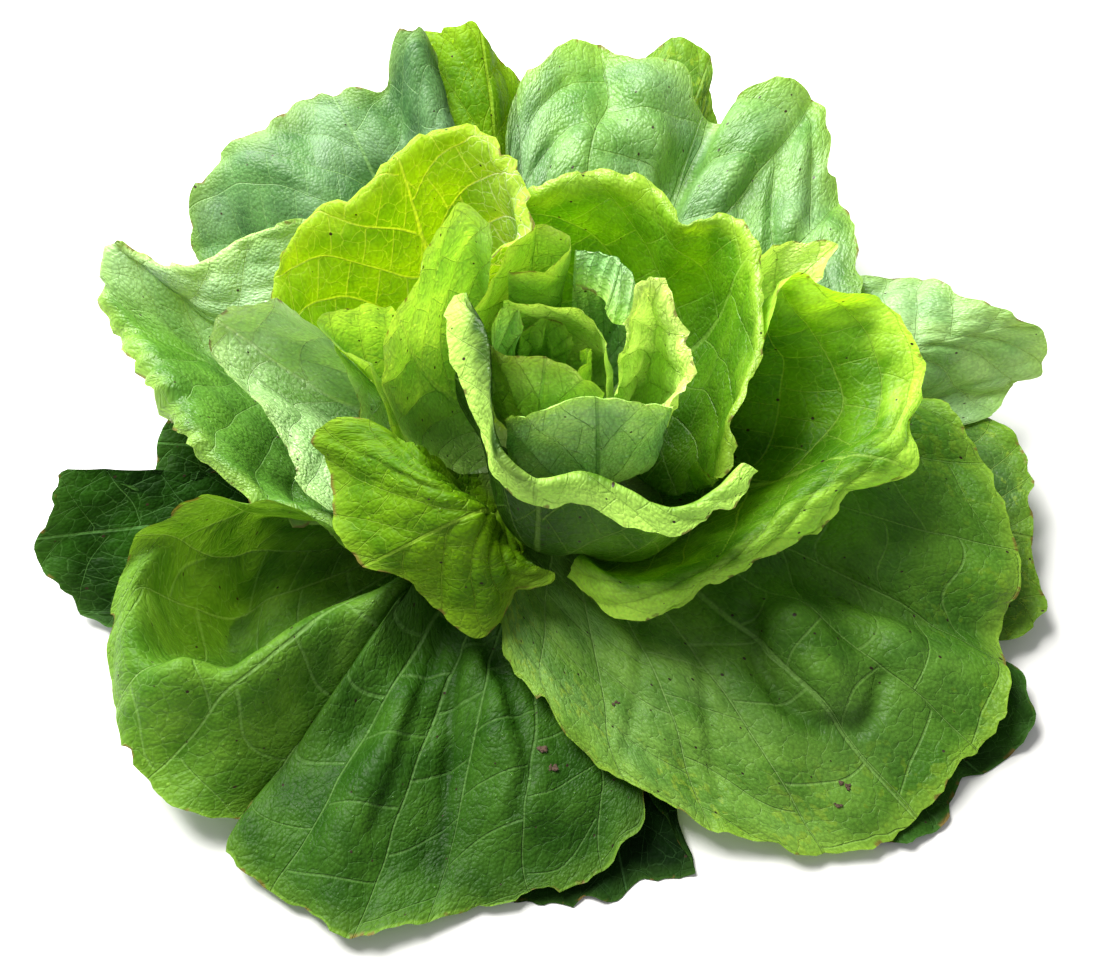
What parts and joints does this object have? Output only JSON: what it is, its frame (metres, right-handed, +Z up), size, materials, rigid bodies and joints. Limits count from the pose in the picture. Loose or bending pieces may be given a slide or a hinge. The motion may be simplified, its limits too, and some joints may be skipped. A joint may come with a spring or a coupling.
{
  "type": "butterhead lettuce",
  "caption": "Open butterhead lettuce head: loose outer leaves spread round an upright, cupped heart, standing on the flat cut end of its stem.",
  "frame": {"origin": "centre of the stem's flat cut face, on the table", "axes": "+Z up along the stem, +X to the right and +Y to the back of the head as the picture shows it"},
  "size_m": [0.3134, 0.2966, 0.1041],
  "materials": {
    "stem": "moist, pale, with a browned cut face",
    "leaf_outer": "dark to mid green leaf, faint waxy sheen",
    "leaf_inner": "bright green leaf, faint waxy sheen",
    "leaf_heart": "pale lime leaf, faint waxy sheen"
  },
  "bodies": {
    "root": {"stem": "stem", "leaf_front_under": "leaf_outer", "leaf_right_under": "leaf_outer", "leaf_right_low": "leaf_outer", "leaf_left_low": "leaf_outer", "leaf_far_left": "leaf_outer", "leaf_right": "leaf_outer", "leaf_rear_small": "leaf_outer", "leaf_rear": "leaf_outer", "leaf_rear_left": "leaf_outer", "leaf_front_left": "leaf_outer", "leaf_front_right": "leaf_outer", "leaf_rear_right": "leaf_outer", "leaf_rear_right_inner": "leaf_inner", "leaf_left_wrapper": "leaf_inner", "leaf_right_wrapper": "leaf_inner", "leaf_rear_right_wrapper": "leaf_inner", "leaf_rear_left_bright": "leaf_inner", "leaf_left_flap": "leaf_inner", "leaf_front_left_flap": "leaf_inner", "leaf_left_inner": "leaf_inner", "leaf_left_twist": "leaf_inner", "leaf_front_wrapper": "leaf_inner", "leaf_heart_rear_pale": "leaf_heart", "leaf_heart_rear_cone": "leaf_heart", "leaf_heart_front_cup": "leaf_heart", "leaf_heart_right": "leaf_heart", "leaf_heart_right_edge": "leaf_heart", "leaf_heart_front_inner": "leaf_heart", "leaf_heart_left": "leaf_heart", "leaf_core_rear": "leaf_heart", "leaf_core_right": "leaf_heart"}
  },
  "joints": []
}
